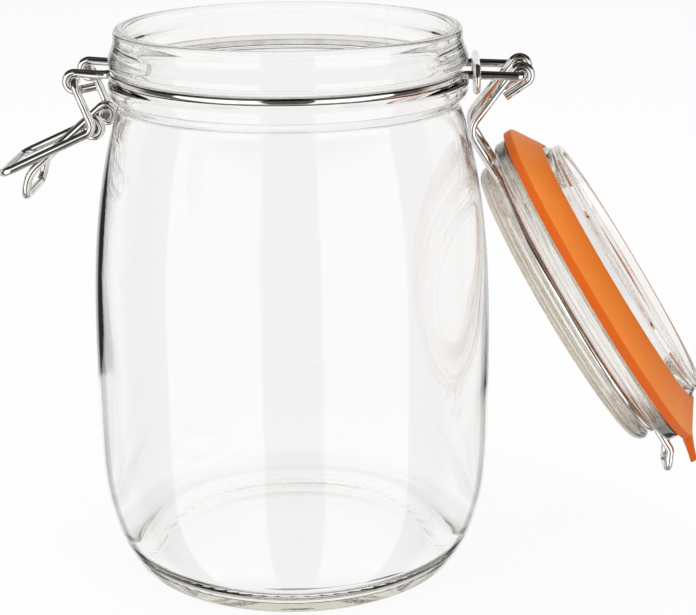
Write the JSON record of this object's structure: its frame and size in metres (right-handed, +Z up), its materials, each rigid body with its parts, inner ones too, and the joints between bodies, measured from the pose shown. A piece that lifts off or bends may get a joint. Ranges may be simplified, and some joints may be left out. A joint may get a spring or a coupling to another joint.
{
  "type": "clip-top canning jar",
  "caption": "Clip-top glass canning jar, empty, with its hinged glass lid hanging open, orange rubber seal, wire bail and wire latch.",
  "frame": {"origin": "middle of the foot, in the plane the jar stands on", "axes": "+Z up along the jar's axis; +X towards the lid's hinge, -X towards the latch; the hinge axes run along Y"},
  "size_m": [0.1865, 0.107, 0.1465],
  "materials": {
    "clear_glass": "clear, smooth",
    "steel_wire": "bright drawn stainless wire",
    "orange_rubber": "satin natural rubber"
  },
  "bodies": {
    "jar": {"jar_glass": "clear_glass", "neck_wire_near": "steel_wire", "neck_wire_far": "steel_wire", "clip_ring": "steel_wire"},
    "lid": {"lid_glass": "clear_glass", "lid_wire": "steel_wire", "gasket": "orange_rubber"},
    "lever": {"lever": "steel_wire"},
    "catch": {"catch": "steel_wire"}
  },
  "joints": [
    {"name": "lid_hinge", "type": "hinge", "parent": "jar", "child": "lid", "pos_m": [0.06025, 0, 0.1345], "axis": [0, -1, 0], "range_deg": [0, 237.7], "deforming": ["gasket"]},
    {"name": "lever_hinge", "type": "hinge", "parent": "jar", "child": "lever", "pos_m": [-0.0544, 0, 0.13302], "axis": [0, 1, 0], "range_deg": [0, 80]},
    {"name": "catch_hinge", "type": "hinge", "parent": "lever", "child": "catch", "pos_m": [-0.05043, 0, 0.12106], "axis": [0, 1, 0], "range_deg": [0, 70]}
  ]
}
